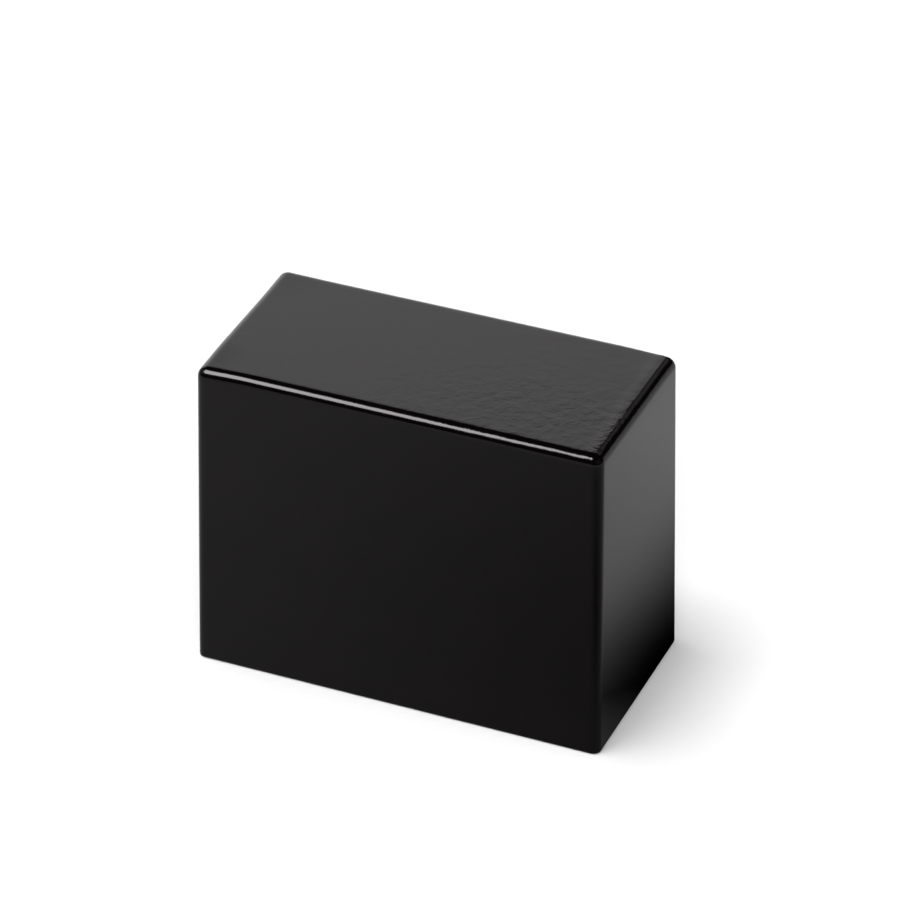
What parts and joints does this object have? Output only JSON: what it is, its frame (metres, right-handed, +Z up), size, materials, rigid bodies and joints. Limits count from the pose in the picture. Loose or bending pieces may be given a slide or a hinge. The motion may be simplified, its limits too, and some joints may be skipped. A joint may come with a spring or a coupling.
{
  "type": "charcoal stick",
  "caption": "Block-shaped compressed charcoal stick for drawing, wrapped in paper round its foot, under a pull-off glossy black moulded cover.",
  "frame": {"origin": "middle of the foot, on the surface that the stick and the cover's open rim stand on", "axes": "+X along the long side, +Y from the front broad side to the back one, +Z up towards the closed end of the cover"},
  "size_m": [0.064, 0.032, 0.0502],
  "materials": {
    "charcoal": "matte",
    "wrap_paper": "matte",
    "cover_vinyl": "gloss"
  },
  "bodies": {
    "stick": {"charcoal_stick": "charcoal", "paper_wrap": "wrap_paper"},
    "cover": {"cover": "cover_vinyl"}
  },
  "joints": [
    {"name": "cover_lift", "type": "slide", "parent": "stick", "child": "cover", "axis": [0, 0, 1], "range_m": [0, 0.06]}
  ]
}
